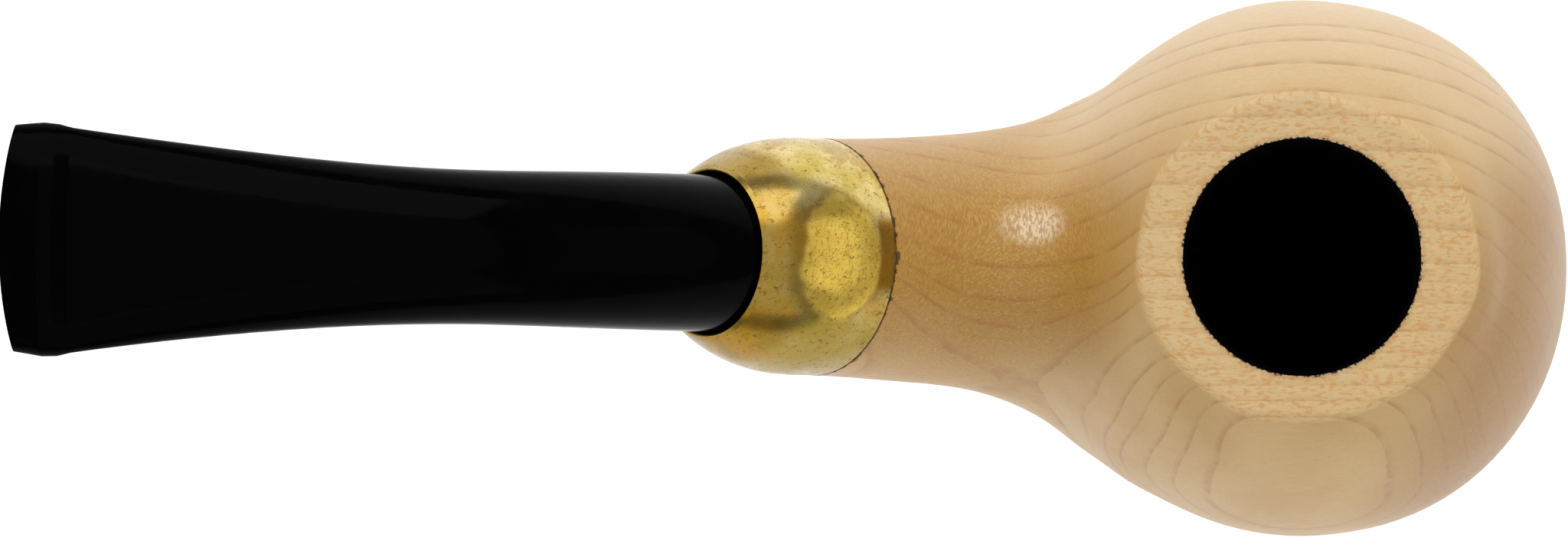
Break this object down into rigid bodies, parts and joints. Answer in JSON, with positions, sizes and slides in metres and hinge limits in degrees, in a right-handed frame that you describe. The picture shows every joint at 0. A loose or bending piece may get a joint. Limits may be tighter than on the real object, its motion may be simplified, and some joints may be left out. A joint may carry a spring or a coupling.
{
  "type": "tobacco pipe",
  "caption": "Full-bent smoking pipe: egg-shaped maple bowl and shank, domed brass ferrule, removable black push-fit stem with a flared bit, and a charcoal filter inside.",
  "frame": {"origin": "centre of the chamber's mouth, on the plane of the rim", "axes": "+Z along the chamber's axis and out of its mouth, +X away from the stem, so that the stem lies towards -X, and Y across the pipe, which is symmetric about the XZ plane"},
  "size_m": [0.1241, 0.044, 0.0711],
  "materials": {
    "maple": "satin, oiled, with fine growth rings",
    "carbon_coating": "matt black bowl coating",
    "ferrule_brass": "polished, lightly tarnished",
    "glue": "dark cured glue",
    "black_acrylic": "high gloss",
    "filter_paper": "matt paper",
    "filter_ceramic": "unglazed ceramic",
    "filter_plastic": "moulded plastic",
    "charcoal": "granular"
  },
  "bodies": {
    "bowl_and_shank": {"stummel": "maple", "bowl_coating": "carbon_coating", "ferrule": "ferrule_brass", "ferrule_glue": "glue"},
    "filter": {"filter_sleeve": "filter_paper", "filter_ceramic_cap": "filter_ceramic", "filter_plastic_cap": "filter_plastic", "filter_charcoal": "charcoal"},
    "mouthpiece": {"stem": "black_acrylic"}
  },
  "joints": [
    {"name": "stem_pull", "type": "slide", "parent": "bowl_and_shank", "child": "filter", "axis": [-0.7193, 0, 0.6947], "range_m": [0, 0.04]},
    {"name": "stem_twist", "type": "hinge", "parent": "filter", "child": "mouthpiece", "pos_m": [-0.0475, 0, 0.0007], "axis": [-0.7193, 0, 0.6947], "continuous": true}
  ]
}
